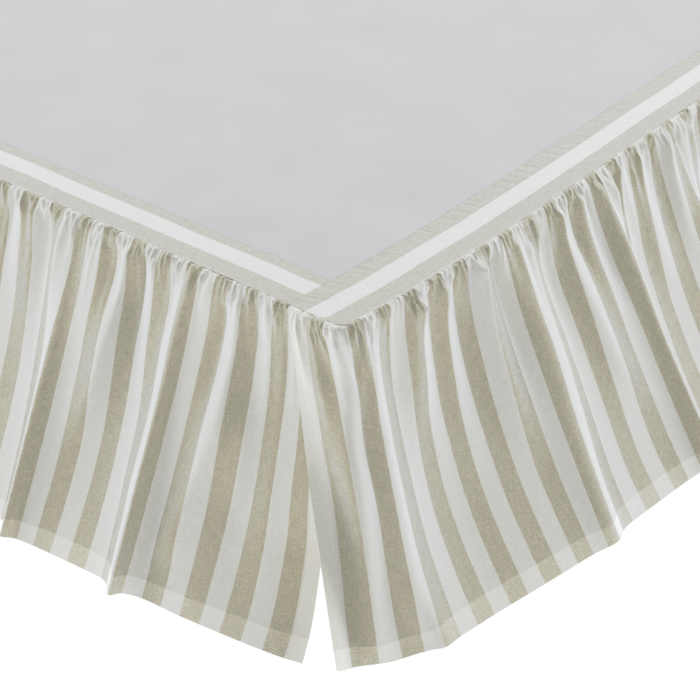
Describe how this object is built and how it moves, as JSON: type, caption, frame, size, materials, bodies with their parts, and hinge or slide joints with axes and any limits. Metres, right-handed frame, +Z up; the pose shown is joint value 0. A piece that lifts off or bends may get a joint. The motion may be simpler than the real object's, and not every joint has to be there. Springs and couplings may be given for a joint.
{
  "type": "bed skirt on a plain bed base",
  "caption": "Striped gathered bed skirt: flat deck, striped facing bands and a flared ruffle split at the foot corners, laid over a plain box base on legs.",
  "frame": {"origin": "on the floor, under the middle of the whole footprint with the flared ruffles", "axes": "+Y towards the head of the bed, +X towards its right side seen from the foot, +Z up"},
  "size_m": [1.9548, 2.2099, 0.4018],
  "materials": {
    "deck_cloth": "plain light grey cotton, matt",
    "band_cloth": "beige and white striped cotton, stripes along the edge",
    "ruffle_cloth": "beige and white striped cotton, stripes down the drop, slub weave",
    "base_cover": "plain off-white woven cover",
    "leg_wood": "satin oiled hardwood"
  },
  "bodies": {
    "root": {"deck_panel": "deck_cloth", "side_band_right": "band_cloth", "side_band_left": "band_cloth", "foot_band": "band_cloth", "side_ruffle_right": "ruffle_cloth", "side_ruffle_left": "ruffle_cloth", "foot_ruffle": "ruffle_cloth", "bed_base": "base_cover", "leg_foot_right": "leg_wood", "leg_foot_left": "leg_wood", "leg_middle_right": "leg_wood", "leg_middle_left": "leg_wood", "leg_head_right": "leg_wood", "leg_head_left": "leg_wood"}
  },
  "joints": []
}
